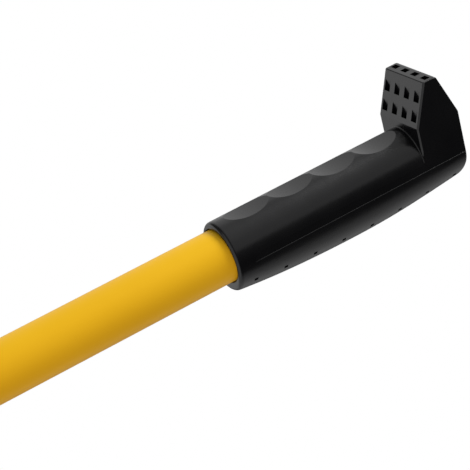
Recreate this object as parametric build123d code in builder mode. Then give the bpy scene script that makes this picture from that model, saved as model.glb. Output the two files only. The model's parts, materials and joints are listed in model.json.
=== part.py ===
from build123d import *
from math import cos, radians, sin, sqrt
import os

# Roller extension pole, two telescoping tubes with a twist lock.
# X runs along the pole: the threaded tip points to -X, the grip is at +X.
# Origin: on the pole's axis, at the shoulder that the roller frame's socket seats on.
# +Z is the finger side of the grip, where its end block stands up. Millimetres.

# ---- driving dimensions ----
# tubes
outer_r, outer_wall = 12.5, 0.85
inner_r, inner_wall = 11.0, 0.8
outer_bore_r = outer_r - outer_wall
inner_bore_r = inner_r - inner_wall
outer_x0, outer_x1 = 86.0, 740.0
inner_x0, inner_x1 = 14.0, 700.0

# grip
mouth_x = 640.0            # where the tube enters the grip
grip_len = 126.0
grip_half_w = 15.0
crease_z = -2.0            # height of the widest line and of the parting line
ridge_z = 16.0             # finger side
palm_stations = [(0, 15.3), (10, 16.6), (28, 18.4), (45, 19.35), (62, 19.8), (80, 19.6), (98, 18.4), (112, 16.9), (128, 14.8)]
mouth_round = 2.0
mouth_gap_r, mouth_gap_depth = 12.95, 3.0
grip_bore_r, grip_bore_len = 12.55, 102.0
scallop_cusps = [6.5, 29.75, 53.0, 76.2, 99.4]
scallop_depths = [1.55, 1.7, 2.0, 2.1]
block_half_w = 14.7
block_front, block_kink_z = 102.8, 19.3
block_top_front, block_top_back, block_top_z = 110.9, 117.85, 39.2
block_back_kink_z = 18.3
block_round, block_crown_round = 0.6, 1.8
neck_round = 0.4
heel_rim_round = 1.0
shoulder_start = 8.0       # where the step along the parting line begins
grip_wall = 2.4
rib_pitch, rib_first, rib_t = 15.86, 16.2, 1.6
vent = 1.9
vent_first = 8.3
vent_side = [12.1, 11.5, 11.15, 10.6, 10.3, 10.3, 10.6, 11.05]
well_w, well_pitch = 3.9, 7.4
face_well_t, top_well_t = 1.95, 2.9

# tip
thread_pitch, thread_crest_r, thread_root_r = 5.08, 9.35, 7.3
land_r, land_len = 9.5, 5.0
thread_end = -28.0
shank_r = 6.0
ferrule_r, ferrule_x1, spigot_x1 = 13.4, 50.0, 62.0
pin_r = 1.6
fit = 0.05

# lock collar
nut_x0, nut_x1, nut_r = 53.0, 99.0, 18.5
nut_bore_r = 14.75
lock_r = 14.6
collar_x0, collar_x1, collar_r = 70.0, 124.0, 17.0


def x_plane(x):
    return Plane.YZ.offset(x)


# ---------------------------------------------------------------- grip
# One hollow moulding: a tubular grip with four finger scallops on its ridge and a
# swollen palm side, ending in a faceted block that stands up as a hand stop.
with BuildPart() as palm_core:
    for a, b in palm_stations:
        with BuildSketch(x_plane(mouth_x + a)):
            with BuildLine():
                EllipticalCenterArc((0, crease_z), grip_half_w - grip_wall, b - grip_wall, start_angle=180, arc_size=180)
                Line((grip_half_w - grip_wall, crease_z), (-(grip_half_w - grip_wall), crease_z))
            make_face()
    loft()
    # solid ring at the mouth, ribs that carry the tube, and a closed far end
    with Locations((mouth_x, 0, -15)):
        Box(11.0, 40, 40, mode=Mode.SUBTRACT)
    with Locations(*[(mouth_x + rib_first + rib_pitch * k, 0, -15) for k in range(7)]):
        Box(rib_t, 40, 40, mode=Mode.SUBTRACT)
    with Locations((mouth_x + grip_bore_len + 22.5, 0, -2)):
        Box(40, 40, 12, mode=Mode.SUBTRACT)
    with BuildSketch(Plane.XZ):
        with BuildLine():
            Polyline(
                (mouth_x + 106, -40), (mouth_x + 112.5, -17.2), (mouth_x + 118.2, -13.6), (mouth_x + 121.0, -10.4),
                (mouth_x + 121.6, -8), (mouth_x + 121.6, 0), (mouth_x + 150, 0), (mouth_x + 150, -40), close=True,
            )
        make_face()
    extrude(amount=40, both=True, mode=Mode.SUBTRACT)

with BuildPart() as front_edge_cut:
    # bevel along the block's two front corners, as a slanted sheet of waste
    front = [(112.4, 42.6), (103.0, 19.6), (102.8, 19.1), (102.8, 8.0), (102.5, 6.3), (101.8, 5.2), (100.6, 4.8)]
    pulled = [(113.15, 42.3), (103.75, 19.3), (103.55, 18.9), (103.55, 7.7), (103.2, 5.6), (102.2, 4.3), (100.6, 3.8)]
    for side_y, pts in ((block_half_w - 0.6, front), (block_half_w + 0.1, pulled)):
        with BuildSketch(Plane.XZ.offset(side_y)):
            with BuildLine():
                Polyline(*[(mouth_x + a, z) for a, z in pts], (mouth_x + 94, pts[-1][1]), (mouth_x + 94, 44), close=True)
            make_face()
    loft(ruled=True)
    mirror(about=Plane.XZ)

with BuildPart() as grip_tube:
    # tubular grip, its far end trimmed to a rounded heel
    for a, b in palm_stations:
        with BuildSketch(x_plane(mouth_x + a)):
            with BuildLine():
                EllipticalCenterArc((0, crease_z), grip_half_w, ridge_z - crease_z, start_angle=0, arc_size=180)
                EllipticalCenterArc((0, crease_z), grip_half_w, b, start_angle=180, arc_size=180)
            make_face()
    loft()
    with BuildSketch(Plane.XZ):
        with BuildLine():
            Polyline(
                (mouth_x + grip_len, crease_z), (mouth_x + grip_len, 60), (mouth_x + 150, 60),
                (mouth_x + 150, -45), (mouth_x + 99, -45), (mouth_x + 115.5, -21.3),
            )
            Spline(
                (mouth_x + 115.5, -21.3), (mouth_x + 123.3, -14.4), (mouth_x + 125.5, -8.8), (mouth_x + grip_len, crease_z),
                tangents=[(1, 0.62), (0, 1)],
            )
        make_face()
    extrude(amount=40, both=True, mode=Mode.SUBTRACT)
    fillet(
        grip_tube.edges().filter_by(lambda e: mouth_x + 112 < e.center().X < mouth_x + 127 and e.center().Z < 0 and abs(e.center().Y) > 3),
        heel_rim_round,
    )

with BuildPart() as handle_grip:
    # end block
    with BuildSketch(Plane.XZ):
        with BuildLine():
            Polyline(
                (mouth_x + block_front, crease_z), (mouth_x + block_front, block_kink_z),
                (mouth_x + block_top_front, block_top_z), (mouth_x + block_top_back, block_top_z),
                (mouth_x + grip_len, block_back_kink_z), (mouth_x + grip_len, crease_z), close=True,
            )
        make_face()
    extrude(amount=block_half_w, both=True)
    fillet(handle_grip.edges().filter_by(Axis.Y).filter_by(lambda e: abs(e.center().Z - block_back_kink_z) < 0.1), 3.0)
    fillet(handle_grip.edges().filter_by(Axis.Y).filter_by(lambda e: e.center().Z > 30 and e.center().X > mouth_x + 112), block_crown_round)
    fillet(
        handle_grip.edges().filter_by(lambda e: e.center().X > mouth_x + 110 and e.center().Z > 0 and abs(e.center().Y) > 14),
        block_round,
    )
    add(grip_tube.part)
    # hollow neck where the grip runs into the block
    fillet(
        handle_grip.edges().filter_by(GeomType.BSPLINE).filter_by(
            lambda e: abs(e.center().X - mouth_x - block_front) < 1.2 and e.center().Z < 17
        ),
        neck_round,
    )
    fillet(handle_grip.edges().filter_by(Axis.Y).filter_by(lambda e: e.center().Z > 30 and e.center().X < mouth_x + 112), block_round)
    add(front_edge_cut.part, mode=Mode.SUBTRACT)
    fillet(handle_grip.edges().filter_by(lambda e: abs(e.center().X - mouth_x) < 0.01), mouth_round)
    # parting line: the upper half sits a hair inside the palm half, flush with the block's sides
    with BuildSketch(Plane.XY.offset(crease_z)):
        for s in (1, -1):
            with BuildLine():
                Polyline(
                    (mouth_x + shoulder_start, s * (grip_half_w + 0.02)), (mouth_x + shoulder_start + 8, s * block_half_w),
                    (mouth_x + 140, s * block_half_w), (mouth_x + 140, s * 18), (mouth_x + shoulder_start, s * 18), close=True,
                )
            make_face()
    extrude(amount=12, mode=Mode.SUBTRACT)
    with BuildSketch(x_plane(mouth_x + shoulder_start + 1)):
        for s in (1, -1):
            with BuildLine():
                Polyline(
                    (s * (grip_half_w - 0.14), crease_z), (s * (grip_half_w - 0.07), crease_z - 0.05), (s * (grip_half_w + 0.01), crease_z - 0.15),
                    (s * (grip_half_w + 0.3), crease_z - 0.15), (s * (grip_half_w + 0.3), crease_z), close=True,
                )
            make_face()
    extrude(amount=130, mode=Mode.SUBTRACT)
    # finger scallops: four shallow cylinders across the ridge, meeting in points
    for x0, x1, depth in zip(scallop_cusps[:-1], scallop_cusps[1:], scallop_depths):
        with BuildSketch(Plane.XZ):
            with BuildLine():
                z1 = ridge_z + 0.03
                ThreePointArc((mouth_x + x0, z1), (mouth_x + (x0 + x1) / 2, ridge_z - depth), (mouth_x + x1, z1))
                Polyline((mouth_x + x1, z1), (mouth_x + x1, ridge_z + 3), (mouth_x + x0, ridge_z + 3), (mouth_x + x0, z1))
            make_face()
        extrude(amount=20, both=True, mode=Mode.SUBTRACT)
    # bore for the tube, a little wider at the mouth
    with BuildSketch(x_plane(mouth_x)):
        Circle(mouth_gap_r)
    extrude(amount=mouth_gap_depth, mode=Mode.SUBTRACT)
    with BuildSketch(x_plane(mouth_x + mouth_gap_depth - 0.1)):
        Circle(grip_bore_r)
    extrude(amount=grip_bore_len - mouth_gap_depth + 0.1, mode=Mode.SUBTRACT)
    with BuildSketch(Plane.XZ):
        with BuildLine():
            Polyline(
                (mouth_x - 1, 0), (mouth_x - 1, mouth_gap_r + 0.5), (mouth_x, mouth_gap_r + 0.5), (mouth_x + 0.15, mouth_gap_r + 0.15),
                (mouth_x + 0.5, mouth_gap_r - 0.02), (mouth_x + 0.5, 0), close=True,
            )
        make_face()
    revolve(axis=Axis.X, mode=Mode.SUBTRACT)
    add(palm_core.part, mode=Mode.SUBTRACT)
    # square core-outs of the block, all drawn straight up: two rows in the leaning face, one in the top
    lean = (block_top_front - block_front) / (block_top_z - block_kink_z)
    for z in (32.5, 24.1):
        with BuildSketch(Plane.XY.offset(z - 13)):
            with Locations((mouth_x + block_front + (z - block_kink_z) * lean, 0)):
                with GridLocations(1, well_pitch, 1, 4):
                    Rectangle(face_well_t, well_w)
        extrude(amount=40, mode=Mode.SUBTRACT)
    with BuildSketch(Plane.XY.offset(block_top_z - 26)):
        with Locations((mouth_x + 114.4, 0)):
            with GridLocations(1, well_pitch, 1, 4):
                Rectangle(top_well_t, well_w)
    extrude(amount=30, mode=Mode.SUBTRACT)
    # small square vents into the hollow palm, eight each side
    for k, y in enumerate(vent_side):
        a = vent_first + rib_pitch * k
        lo = max(i for i in range(len(palm_stations) - 1) if palm_stations[i][0] <= a)
        (a0, b0), (a1, b1) = palm_stations[lo], palm_stations[lo + 1]
        b = b0 + (b1 - b0) * (a - a0) / (a1 - a0)
        z = crease_z - b * sqrt(1 - (y / grip_half_w) ** 2)
        for s in (1, -1):
            out = Vector(0, s * y / grip_half_w**2, (z - crease_z) / b**2).normalized()
            with BuildSketch(Plane(origin=Vector(mouth_x + a, s * y, z) - out * 3.2, x_dir=(1, 0, 0), z_dir=out)):
                Rectangle(vent, vent)
            extrude(amount=6, mode=Mode.SUBTRACT)
handle_grip.part.label = "handle_grip"

# ---------------------------------------------------------------- outer tube
collar_rivet_x = 112.0
with BuildPart() as outer_tube:
    with BuildSketch(x_plane(outer_x0)):
        Circle(outer_r)
        Circle(outer_bore_r, mode=Mode.SUBTRACT)
    extrude(amount=outer_x1 - outer_x0)
    with Locations(Plane.XZ):
        with Locations((collar_rivet_x, 0)):
            Cylinder(pin_r + 0.02, 60, mode=Mode.SUBTRACT)
outer_tube.part.label = "outer_tube"

with BuildPart() as tube_end_plug:
    with BuildSketch(Plane.XZ):
        with BuildLine():
            Polyline(
                (722, 0), (722, 9.4), (724, outer_bore_r - fit), (outer_x1, outer_bore_r - fit), (outer_x1, outer_r - 0.05),
                (outer_x1 + 1.8, outer_r - 0.05), (outer_x1 + 1.8, 9.0), (725, 9.0), (725, 0), close=True,
            )
        make_face()
    revolve(axis=Axis.X)
tube_end_plug.part.label = "tube_end_plug"

with BuildPart() as front_bush:
    # thin nylon sleeve that centres the inner tube in the front of the outer one
    with BuildSketch(Plane.XZ):
        with BuildLine():
            Polyline(
                (84.6, 11.07), (84.6, outer_r - 0.1), (outer_x0, outer_r - 0.1), (outer_x0, outer_bore_r - 0.06),
                (108, outer_bore_r - 0.06), (108, 11.07), close=True,
            )
        make_face()
    revolve(axis=Axis.X)
front_bush.part.label = "front_bush"

# ---------------------------------------------------------------- sliding section
rivet_x, cross_x, bush_pin_x = 25.0, 40.0, 688.0
with BuildPart() as inner_tube:
    with BuildSketch(x_plane(inner_x0)):
        Circle(inner_r)
        Circle(inner_bore_r, mode=Mode.SUBTRACT)
    extrude(amount=inner_x1 - inner_x0)
    with Locations(Plane.XZ):
        with Locations((cross_x, 0), (bush_pin_x, 0)):
            Cylinder(pin_r + 0.02, 60, mode=Mode.SUBTRACT)
    with Locations(Plane.XY):
        with Locations((rivet_x, 0)):
            Cylinder(pin_r + 0.02, 60, mode=Mode.SUBTRACT)
inner_tube.part.label = "inner_tube"

with BuildPart() as rear_bush:
    # plug in the end of the inner tube with a guide flange that runs in the outer one
    with BuildSketch(Plane.XZ):
        with BuildLine():
            Polyline(
                (678, 6.5), (678, 9.6), (679, inner_bore_r - fit), (inner_x1, inner_bore_r - fit), (inner_x1, 11.2),
                (700.6, 11.57), (704.4, 11.57), (704.4, 10.3), (707.6, 10.3), (707.6, 11.57), (714.4, 11.57), (715, 11.2), (715, 6.5), close=True,
            )
        make_face()
    revolve(axis=Axis.X)
    with Locations(Plane.XZ):
        with Locations((bush_pin_x, 0)):
            Cylinder(pin_r + 0.02, 60, mode=Mode.SUBTRACT)
rear_bush.part.label = "rear_bush"

with BuildPart() as rear_damper_ring:
    with BuildSketch(Plane.XZ):
        with BuildLine():
            Polyline((704.6, 10.36), (704.6, 11.3), (705.0, 11.59), (707.0, 11.59), (707.4, 11.3), (707.4, 10.36), close=True)
        make_face()
    revolve(axis=Axis.X)
rear_damper_ring.part.label = "rear_damper_ring"

with BuildPart() as rear_bush_pin:
    with BuildSketch(Plane.XZ.offset(-10.9)):
        with Locations((bush_pin_x, 0)):
            Circle(pin_r)
    extrude(amount=21.8)
    chamfer(rear_bush_pin.edges(), 0.3)
rear_bush_pin.part.label = "rear_bush_pin"

# ---------------------------------------------------------------- tip
with BuildPart() as threaded_tip:
    with BuildSketch(Plane.XZ):
        with BuildLine():
            Polyline(
                (thread_end - 3, 0), (thread_end - 3, 5.6), (thread_end - 1.4, thread_root_r), (-land_len - 1.5, thread_root_r),
                (-land_len, thread_root_r + 0.6), (-land_len, land_r), (0, land_r), (0, 11.4), (0.6, 12.0), (3.0, 12.0), (3.0, shank_r),
                (56.4, shank_r), (57.0, shank_r - 0.6), (57.0, 0), close=True,
            )
        make_face()
    revolve(axis=Axis.X)
    # rounded coarse thread that the frame's socket screws on to
    turns = Helix(pitch=thread_pitch, height=17.6, radius=thread_root_r, center=(-26.2, 0, 0), direction=(1, 0, 0), mode=Mode.PRIVATE)
    with BuildSketch(Plane(origin=turns @ 0, x_dir=(turns @ 0) - Vector(-26.2, 0, 0), z_dir=turns % 0)):
        with BuildLine():
            Polyline((-0.3, -1.75), (-0.3, 1.75), (1.45, 0.95), (2.05, 0.5), (2.05, -0.5), (1.45, -0.95), close=True)
        make_face()
    sweep(path=turns, is_frenet=True)
    with Locations(Plane.XZ):
        with Locations((cross_x, 0)):
            Cylinder(pin_r + 0.02, 60, mode=Mode.SUBTRACT)
threaded_tip.part.label = "threaded_tip"

with BuildPart() as tip_ferrule:
    # sleeve over the tube and spigot inside it, round the shank of the threaded tip
    with BuildSketch(Plane.XZ):
        with BuildLine():
            Polyline(
                (3.0, shank_r + fit), (3.0, 11.9), (5.0, 12.6), (12.0, ferrule_r), (46.5, ferrule_r), (ferrule_x1, 12.0),
                (ferrule_x1, inner_r + fit), (inner_x0, inner_r + fit), (inner_x0, inner_bore_r - fit), (60.6, inner_bore_r - fit),
                (spigot_x1, 9.4), (spigot_x1, shank_r + fit), close=True,
            )
        make_face()
    revolve(axis=Axis.X)
    with Locations(x_plane(31)):
        with PolarLocations(ferrule_r + 1.1, 12, start_angle=15):
            Cylinder(1.7, 30, mode=Mode.SUBTRACT)
    with Locations(Plane.XZ):
        with Locations((cross_x, 0)):
            Cylinder(pin_r + 0.02, 60, mode=Mode.SUBTRACT)
    for s in (1, -1):
        with Locations((rivet_x, 0, s * 14.0)):
            Cylinder(pin_r + 0.02, 12.4, mode=Mode.SUBTRACT)
tip_ferrule.part.label = "tip_ferrule"

with BuildPart() as ferrule_rivets:
    with BuildSketch(Plane.XY.offset(8.2)):
        with Locations((rivet_x, 0)):
            Circle(pin_r)
    extrude(amount=ferrule_r + 0.1 - 8.2)
    with BuildSketch(Plane.XY.offset(ferrule_r + 0.1)):
        with Locations((rivet_x, 0)):
            Circle(2.9)
    extrude(amount=1.0)
    fillet(ferrule_rivets.faces().sort_by(Axis.Z)[-1].edges(), 0.8)
    mirror(about=Plane.XY)
ferrule_rivets.part.label = "ferrule_rivets"

with BuildPart() as tip_cross_pin:
    with BuildSketch(Plane.XZ.offset(-13.3)):
        with Locations((cross_x, 0)):
            Circle(pin_r)
    extrude(amount=26.6)
    chamfer(tip_cross_pin.edges(), 0.3)
tip_cross_pin.part.label = "tip_cross_pin"

# ---------------------------------------------------------------- lock collar
with BuildPart() as collar_body:
    # fixed half: riveted to the outer tube, with the seat of the collet in its front
    with BuildSketch(Plane.XZ):
        with BuildLine():
            Polyline(
                (collar_x0, 13.0), (collar_x0, 14.2), (collar_x0 + 0.4, lock_r), (102.5, lock_r), (102.5, collar_r - 1.2), (103.7, collar_r),
                (119.5, collar_r), (collar_x1, 14.4), (collar_x1, outer_r + 0.04), (outer_x0 - 1.5, outer_r + 0.04), (outer_x0 - 1.5, 11.07),
                (78.0, 11.07), (78.0, 13.0), close=True,
            )
        make_face()
    revolve(axis=Axis.X)
    with Locations(x_plane(111.5)):
        with PolarLocations(collar_r + 1.6, 16, start_angle=11.25):
            Cylinder(2.3, 17, mode=Mode.SUBTRACT)
    with Locations(Plane.XZ):
        with Locations((collar_rivet_x, 0)):
            Cylinder(pin_r + 0.02, 60, mode=Mode.SUBTRACT)
    for s in (1, -1):
        with Locations(Plane.XZ.offset(s * 17.5)):
            with Locations((collar_rivet_x, 0)):
                Cylinder(3.1, 3.0, mode=Mode.SUBTRACT)
collar_body.part.label = "collar_body"

with BuildPart() as collar_rivets:
    with BuildSketch(Plane.XZ.offset(11.3)):
        with Locations((collar_rivet_x, 0)):
            Circle(pin_r)
    extrude(amount=16.02 - 11.3)
    with BuildSketch(Plane.XZ.offset(16.02)):
        with Locations((collar_rivet_x, 0)):
            Circle(2.9)
    extrude(amount=0.95)
    fillet(collar_rivets.faces().sort_by(Axis.Y)[0].edges(), 0.75)
    mirror(about=Plane.XZ)
collar_rivets.part.label = "collar_rivets"

with BuildPart() as collet:
    # split clamping ring: one slot right through, five from the nose
    with BuildSketch(Plane.XZ):
        with BuildLine():
            Polyline((60.4, 11.04), (60.4, 12.25), (69.9, 13.6), (69.9, 12.95), (77.8, 12.95), (77.8, 11.04), close=True)
        make_face()
    revolve(axis=Axis.X)
    with Locations((69, 0, 12)):
        Box(20, 1.4, 6, mode=Mode.SUBTRACT)
    with Locations(x_plane(66)):
        with PolarLocations(12.5, 5, start_angle=150, angular_range=300):
            Box(5, 1.2, 14, mode=Mode.SUBTRACT)
collet.part.label = "collet"

with BuildPart() as clamp_ring:
    # its inner cone closes on the collet's nose
    with BuildSketch(Plane.XZ):
        with BuildLine():
            Polyline((58.4, 12.3), (58.4, 14.6), (68.4, 14.6), (68.4, 13.72), (60.4, 12.6), (59.6, 12.3), close=True)
        make_face()
    revolve(axis=Axis.X)
clamp_ring.part.label = "clamp_ring"

with BuildPart() as thrust_washer:
    with BuildSketch(x_plane(57.5)):
        Circle(14.5)
        Circle(11.9, mode=Mode.SUBTRACT)
    extrude(amount=0.85)
thrust_washer.part.label = "thrust_washer"

with BuildPart() as lock_nut:
    # twist collar, fluted for the hand
    with BuildSketch(Plane.XZ):
        with BuildLine():
            Polyline(
                (nut_x0, 13.5), (nut_x0, 15.2), (nut_x0 + 1.2, 16.4), (nut_x0 + 6, 17.6), (nut_x0 + 10, nut_r), (nut_x1 - 1.2, nut_r),
                (nut_x1, nut_r - 1.2), (nut_x1, nut_bore_r), (57.4, nut_bore_r), (57.4, 11.6), (55.6, 11.6), (55.6, 13.5), close=True,
            )
        make_face()
    revolve(axis=Axis.X)
    with Locations(x_plane(81)):
        with PolarLocations(nut_r + 1.5, 16):
            Cylinder(2.3, 32, mode=Mode.SUBTRACT)
lock_nut.part.label = "lock_nut"

with BuildPart() as wiper_ring:
    with BuildSketch(Plane.XZ):
        with BuildLine():
            Polyline((53.3, 11.09), (53.3, 13.45), (55.5, 13.45), (55.5, 11.5), (54.6, 11.09), close=True)
        make_face()
    revolve(axis=Axis.X)
wiper_ring.part.label = "wiper_ring"

# ---------------------------------------------------------------- write
os.makedirs("parts", exist_ok=True)
export_step(handle_grip.part, "parts/handle_grip.step")
export_step(outer_tube.part, "parts/outer_tube.step")
export_step(tube_end_plug.part, "parts/tube_end_plug.step")
export_step(front_bush.part, "parts/front_bush.step")
export_step(inner_tube.part, "parts/inner_tube.step")
export_step(rear_bush.part, "parts/rear_bush.step")
export_step(rear_damper_ring.part, "parts/rear_damper_ring.step")
export_step(rear_bush_pin.part, "parts/rear_bush_pin.step")
export_step(threaded_tip.part, "parts/threaded_tip.step")
export_step(tip_ferrule.part, "parts/tip_ferrule.step")
export_step(ferrule_rivets.part, "parts/ferrule_rivets.step")
export_step(tip_cross_pin.part, "parts/tip_cross_pin.step")
export_step(collar_body.part, "parts/collar_body.step")
export_step(collar_rivets.part, "parts/collar_rivets.step")
export_step(collet.part, "parts/collet.step")
export_step(clamp_ring.part, "parts/clamp_ring.step")
export_step(thrust_washer.part, "parts/thrust_washer.step")
export_step(lock_nut.part, "parts/lock_nut.step")
export_step(wiper_ring.part, "parts/wiper_ring.step")
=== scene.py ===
import bpy, bmesh, math, json
from mathutils import Vector, Matrix


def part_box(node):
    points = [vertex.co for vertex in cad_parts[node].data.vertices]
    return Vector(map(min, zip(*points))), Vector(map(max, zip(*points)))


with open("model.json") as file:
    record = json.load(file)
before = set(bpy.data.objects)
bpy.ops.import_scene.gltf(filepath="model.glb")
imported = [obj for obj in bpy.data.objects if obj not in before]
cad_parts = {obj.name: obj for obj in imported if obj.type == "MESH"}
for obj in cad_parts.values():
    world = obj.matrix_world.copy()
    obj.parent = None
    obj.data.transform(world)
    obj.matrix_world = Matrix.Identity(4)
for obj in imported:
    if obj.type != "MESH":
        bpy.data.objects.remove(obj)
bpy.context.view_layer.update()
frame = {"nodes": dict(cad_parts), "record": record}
nodes = frame["nodes"]
scene = bpy.context.scene

# ------------------------------------------------------------------ camera
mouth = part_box("handle_grip")[0].x
cam_data = bpy.data.cameras.new("camera")
cam_data.sensor_width = 36.0
cam_data.lens = 1840.0 / 470.0 * 36.0
cam = bpy.data.objects.new("camera", cam_data)
scene.collection.objects.link(cam)
forward = Vector((0.367, 0.805, -0.465)).normalized()
up = Vector((0.429, 0.297, 0.853))
right = forward.cross(up).normalized()
up = right.cross(forward).normalized()
cam.matrix_world = Matrix.Translation(Vector((mouth - 0.2860, -0.6482, 0.3805))) @ Matrix(
    ((right.x, up.x, -forward.x), (right.y, up.y, -forward.y), (right.z, up.z, -forward.z))
).to_4x4()
cam_data.clip_start, cam_data.clip_end = 0.01, 60
cam_data.dof.use_dof = False
scene.camera = cam

# ------------------------------------------------------------------ light and floor
scene.view_settings.view_transform = "Standard"
scene.view_settings.look = "None"
world = bpy.data.worlds.new("studio")
scene.world = world
world.use_nodes = True
wn, wl = world.node_tree.nodes, world.node_tree.links
wn.clear()
w_out = wn.new("ShaderNodeOutputWorld")
w_mix = wn.new("ShaderNodeMixShader")
w_path = wn.new("ShaderNodeLightPath")
w_dim = wn.new("ShaderNodeBackground")
# the studio as a band of brightness round the pole's own axis: a wide overhead box that
# starts just above the horizon in front, a bright sweep behind and below, a dark front floor
w_dir = wn.new("ShaderNodeTexCoord").outputs["Generated"]
w_xyz = wn.new("ShaderNodeSeparateXYZ")
wl.new(w_dir, w_xyz.inputs[0])
w_ang = wn.new("ShaderNodeMath")
w_ang.operation = "ARCTAN2"
wl.new(w_xyz.outputs["Z"], w_ang.inputs[0])
wl.new(w_xyz.outputs["Y"], w_ang.inputs[1])
w_map = wn.new("ShaderNodeMapRange")
wl.new(w_ang.outputs[0], w_map.inputs["Value"])
w_map.inputs["From Min"].default_value = -math.pi
w_map.inputs["From Max"].default_value = math.pi
w_ramp = wn.new("ShaderNodeValToRGB")
w_ramp.color_ramp.interpolation = "EASE"
wl.new(w_map.outputs["Result"], w_ramp.inputs[0])
SKY = [
    (-180, 0.08), (-160, 0.05), (-136, 0.06), (-118, 0.40), (-98, 0.57), (-78, 0.54), (-60, 0.30), (-38, 0.06), (-20, 0.3), (0, 0.72),
    (26, 0.80), (56, 0.88), (78, 0.66), (100, 0.68), (122, 0.66), (150, 0.54), (161, 0.56), (169, 0.12), (180, 0.09),
]
ramp = w_ramp.color_ramp
for deg, v in SKY[1:-1]:
    ramp.elements.new((deg + 180) / 360)
for e, (deg, v) in zip(ramp.elements, SKY):
    e.color = (v / 1.2, v / 1.2, v / 1.2, 1)


def w_math(op, a, b=None, c=None):
    n = wn.new("ShaderNodeMath")
    n.operation = op
    for sock, v in zip(n.inputs, (a, b, c)):
        if isinstance(v, bpy.types.NodeSocket):
            wl.new(v, sock)
        elif v is not None:
            sock.default_value = v
    return n.outputs[0]


def w_step(value, lo, hi):
    n = wn.new("ShaderNodeMapRange")
    n.interpolation_type = "SMOOTHSTEP"
    wl.new(value, n.inputs["Value"])
    n.inputs["From Min"].default_value = lo
    n.inputs["From Max"].default_value = hi
    return n.outputs["Result"]


# the box hangs over the pole's far side: nothing above the horizon towards the tip
lowish = w_step(w_xyz.outputs["Z"], 0.30, 0.12)
near = w_step(w_xyz.outputs["X"], -0.30, 0.02)
box_mask = w_math("MAXIMUM", near, lowish)
# and the sweep behind the tip end is brighter near the horizon
left_boost = w_math("MULTIPLY", w_step(w_xyz.outputs["X"], -0.25, -0.5), w_math("MULTIPLY", w_step(w_xyz.outputs["Y"], 0.2, 0.6), lowish))
gain = w_math("MULTIPLY_ADD", left_boost, 0.62, w_math("MAXIMUM", box_mask, 0.2))
# a low white board behind the tip end
board = w_math("MULTIPLY", w_step(w_xyz.outputs["X"], -0.05, -0.28), w_math("MULTIPLY", w_step(w_xyz.outputs["Y"], 0.3, 0.6), w_step(w_xyz.outputs["Z"], 0.05, -0.15)))
w_scale = wn.new("ShaderNodeVectorMath")
w_scale.operation = "SCALE"
wl.new(w_ramp.outputs["Color"], w_scale.inputs[0])
wl.new(gain, w_scale.inputs["Scale"])
# and another, beside the camera towards the tip
side_board = w_math("MULTIPLY", w_step(w_xyz.outputs["X"], -0.4, -0.7), w_step(w_xyz.outputs["Y"], 0.3, 0.0))
boards = w_math("MAXIMUM", w_math("MULTIPLY", board, 0.58), w_math("MULTIPLY", side_board, 0.7))
w_board = wn.new("ShaderNodeCombineXYZ")
for i in range(3):
    wl.new(boards, w_board.inputs[i])
w_max = wn.new("ShaderNodeVectorMath")
w_max.operation = "MAXIMUM"
wl.new(w_scale.outputs[0], w_max.inputs[0])
wl.new(w_board.outputs[0], w_max.inputs[1])
wl.new(w_max.outputs[0], w_dim.inputs["Color"])
w_dim.inputs["Strength"].default_value = 1.2
w_white = wn.new("ShaderNodeBackground")
w_white.inputs["Color"].default_value = (1, 1, 1, 1)
w_white.inputs["Strength"].default_value = 1.0
wl.new(w_path.outputs["Is Camera Ray"], w_mix.inputs["Fac"])
wl.new(w_dim.outputs[0], w_mix.inputs[1])
wl.new(w_white.outputs[0], w_mix.inputs[2])
wl.new(w_mix.outputs[0], w_out.inputs["Surface"])


def softbox(name, at, aim, size, power, colour=(1, 1, 1)):
    d = bpy.data.lights.new(name, "AREA")
    d.shape = "RECTANGLE"
    d.size, d.size_y = size
    d.energy = power
    d.color = colour
    o = bpy.data.objects.new(name, d)
    scene.collection.objects.link(o)
    o.location = at
    o.rotation_mode = "QUATERNION"
    o.rotation_quaternion = (Vector(aim) - Vector(at)).to_track_quat("-Z", "Y")
    o.visible_camera = False
    return o


target = Vector((mouth + 0.04, 0, 0))
softbox("key", target + Vector((1.5, -0.1, 1.3)), target, (0.8, 0.8), 35)
softbox("fill", target + Vector((-1.1, -1.1, -0.3)), target, (0.7, 0.7), 9, (1, 0.76, 0.9)).visible_glossy = False

bm = bmesh.new()
bmesh.ops.create_grid(bm, x_segments=2, y_segments=2, size=12)
floor_mesh = bpy.data.meshes.new("floor")
bm.to_mesh(floor_mesh)
bm.free()
floor = bpy.data.objects.new("floor", floor_mesh)
scene.collection.objects.link(floor)
floor.location = (mouth, 0, -0.45)
fm = bpy.data.materials.new("floor_white")
fm.use_nodes = True
fn, fl = fm.node_tree.nodes, fm.node_tree.links
fn.clear()
f_out = fn.new("ShaderNodeOutputMaterial")
f_em = fn.new("ShaderNodeEmission")
f_em.inputs["Color"].default_value = (1, 1, 1, 1)
f_em.inputs["Strength"].default_value = 1.0
fl.new(f_em.outputs[0], f_out.inputs["Surface"])
floor.data.materials.append(fm)
floor.visible_glossy = False
floor.visible_diffuse = False
floor.visible_shadow = False


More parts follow.
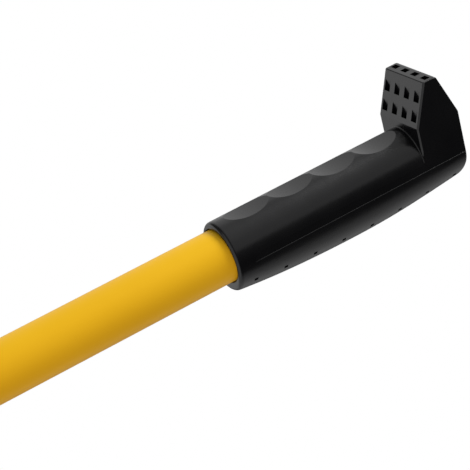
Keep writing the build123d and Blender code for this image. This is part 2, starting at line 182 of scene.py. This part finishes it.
# ------------------------------------------------------------------ materials
class Mat:
    """A principled material with a few helpers for layered procedural detail."""

    def __init__(self, name):
        self.m = bpy.data.materials.new(name)
        self.m.use_nodes = True
        self.n, self.l = self.m.node_tree.nodes, self.m.node_tree.links
        self.b = self.n["Principled BSDF"]
        self.co = self.n.new("ShaderNodeTexCoord").outputs["Object"]

    def set(self, **kw):
        for k, v in kw.items():
            self.b.inputs[k.replace("_", " ")].default_value = v
        return self

    def node(self, kind, ins=None, **props):
        n = self.n.new(kind)
        for k, v in props.items():
            setattr(n, k, v)
        for k, v in (ins or {}).items():
            if isinstance(v, bpy.types.NodeSocket):
                self.l.new(v, n.inputs[k])
            else:
                n.inputs[k].default_value = v
        return n

    def noise(self, scale, detail=2.0, rough=0.5, stretch=None, kind="Fac"):
        vec = self.co
        if stretch:
            vec = self.node("ShaderNodeMapping", {"Vector": self.co, "Scale": stretch}).outputs[0]
        return self.node("ShaderNodeTexNoise", {"Vector": vec, "Scale": scale, "Detail": detail, "Roughness": rough}).outputs[kind]

    def ramp(self, fac, lo, hi, a, b):
        return self.node("ShaderNodeMapRange", {"Value": fac, "From Min": lo, "From Max": hi, "To Min": a, "To Max": b}).outputs["Result"]

    def mix(self, fac, a, b):
        n = self.node("ShaderNodeMix", data_type="RGBA")
        for sock, v in ((n.inputs["Factor"], fac), (n.inputs[6], a), (n.inputs[7], b)):
            if isinstance(v, bpy.types.NodeSocket):
                self.l.new(v, sock)
            else:
                sock.default_value = v
        return n.outputs[2]

    def to(self, socket, value):
        self.l.new(value, self.b.inputs[socket])
        return self

    def bump(self, height, strength, distance, base=None):
        n = self.node("ShaderNodeBump", {"Height": height, "Strength": strength, "Distance": distance})
        if base is not None:
            self.l.new(base, n.inputs["Normal"])
        return n.outputs[0]


def paint(node, mat):
    o = nodes[node]
    o.data.materials.clear()
    o.data.materials.append(mat)


grip = Mat("grip_plastic").set(Specular_IOR_Level=0.5)
fine = grip.noise(2600, 3, 0.6)
broad = grip.noise(38, 3, 0.6)
grip.to("Base Color", grip.mix(grip.ramp(broad, 0.3, 0.7, 0, 1), (0.0012, 0.0013, 0.0017, 1), (0.0024, 0.0025, 0.0029, 1)))
grip.to("Roughness", grip.ramp(broad, 0.3, 0.7, 0.19, 0.25))
grip.to("Normal", grip.bump(fine, 0.12, 0.00003))

tube = Mat("tube_paint").set(Specular_IOR_Level=0.22, Specular_Tint=(1.0, 0.72, 0.12, 1))
peel = tube.noise(420, 2, 0.5)
blot = tube.noise(9, 3, 0.6)
tube.to("Base Color", tube.mix(tube.ramp(blot, 0.35, 0.65, 0, 1), (0.82, 0.455, 0.012, 1), (0.86, 0.49, 0.014, 1)))
tube.to("Roughness", tube.ramp(tube.noise(60, 3, 0.6), 0.3, 0.7, 0.36, 0.44))
tube.to("Normal", tube.bump(peel, 0.12, 0.00008))

moulding = Mat("moulded_plastic").set(Specular_IOR_Level=0.5)
moulding.to("Base Color", moulding.mix(moulding.ramp(moulding.noise(45, 3, 0.6), 0.3, 0.7, 0, 1), (0.012, 0.012, 0.013, 1), (0.018, 0.018, 0.019, 1)))
moulding.to("Roughness", moulding.ramp(moulding.noise(70, 3, 0.6), 0.3, 0.7, 0.38, 0.5))
moulding.to("Normal", moulding.bump(moulding.noise(2400, 3, 0.6), 0.3, 0.00006))

drawn = Mat("drawn_metal").set(Metallic=1.0)
lines = drawn.noise(900, 3, 0.6, stretch=(0.02, 1, 1))
drawn.to("Base Color", drawn.mix(drawn.ramp(drawn.noise(12, 3, 0.6), 0.3, 0.7, 0, 1), (0.70, 0.71, 0.72, 1), (0.78, 0.79, 0.80, 1)))
drawn.to("Roughness", drawn.ramp(lines, 0.3, 0.7, 0.24, 0.42))
drawn.to("Normal", drawn.bump(lines, 0.15, 0.00005))

cast = Mat("zinc_casting").set(Metallic=1.0)
cast.to("Base Color", cast.mix(cast.ramp(cast.noise(60, 4, 0.6), 0.3, 0.7, 0, 1), (0.42, 0.43, 0.44, 1), (0.56, 0.57, 0.58, 1)))
cast.to("Roughness", cast.ramp(cast.noise(300, 3, 0.6), 0.3, 0.7, 0.34, 0.52))
cast.to("Normal", cast.bump(cast.noise(700, 3, 0.6), 0.25, 0.0001))

nylon = Mat("natural_nylon").set(Subsurface_Weight=0.1, Subsurface_Scale=0.002)
nylon.to("Base Color", nylon.mix(nylon.ramp(nylon.noise(40, 3, 0.6), 0.3, 0.7, 0, 1), (0.62, 0.60, 0.53, 1), (0.70, 0.68, 0.62, 1)))
nylon.to("Roughness", nylon.ramp(nylon.noise(90, 3, 0.6), 0.3, 0.7, 0.35, 0.5))
nylon.to("Normal", nylon.bump(nylon.noise(900, 2, 0.5), 0.15, 0.00006))

rubber = Mat("rubber")
rubber.to("Base Color", rubber.mix(rubber.ramp(rubber.noise(80, 3, 0.6), 0.3, 0.7, 0, 1), (0.012, 0.012, 0.012, 1), (0.022, 0.021, 0.021, 1)))
rubber.to("Roughness", rubber.ramp(rubber.noise(90, 3, 0.6), 0.3, 0.7, 0.6, 0.8))
rubber.to("Normal", rubber.bump(rubber.noise(1800, 2, 0.5), 0.3, 0.00008))

by_slot = {
    "grip": grip.m, "moulding": moulding.m, "tube_paint": tube.m, "inner_metal": drawn.m, "tip_metal": cast.m,
    "steel": drawn.m, "rivet": drawn.m, "nylon": nylon.m, "rubber": rubber.m,
}
for part in frame["record"]["subparts"]:
    paint(part["node"], by_slot[part["material_slot"]])
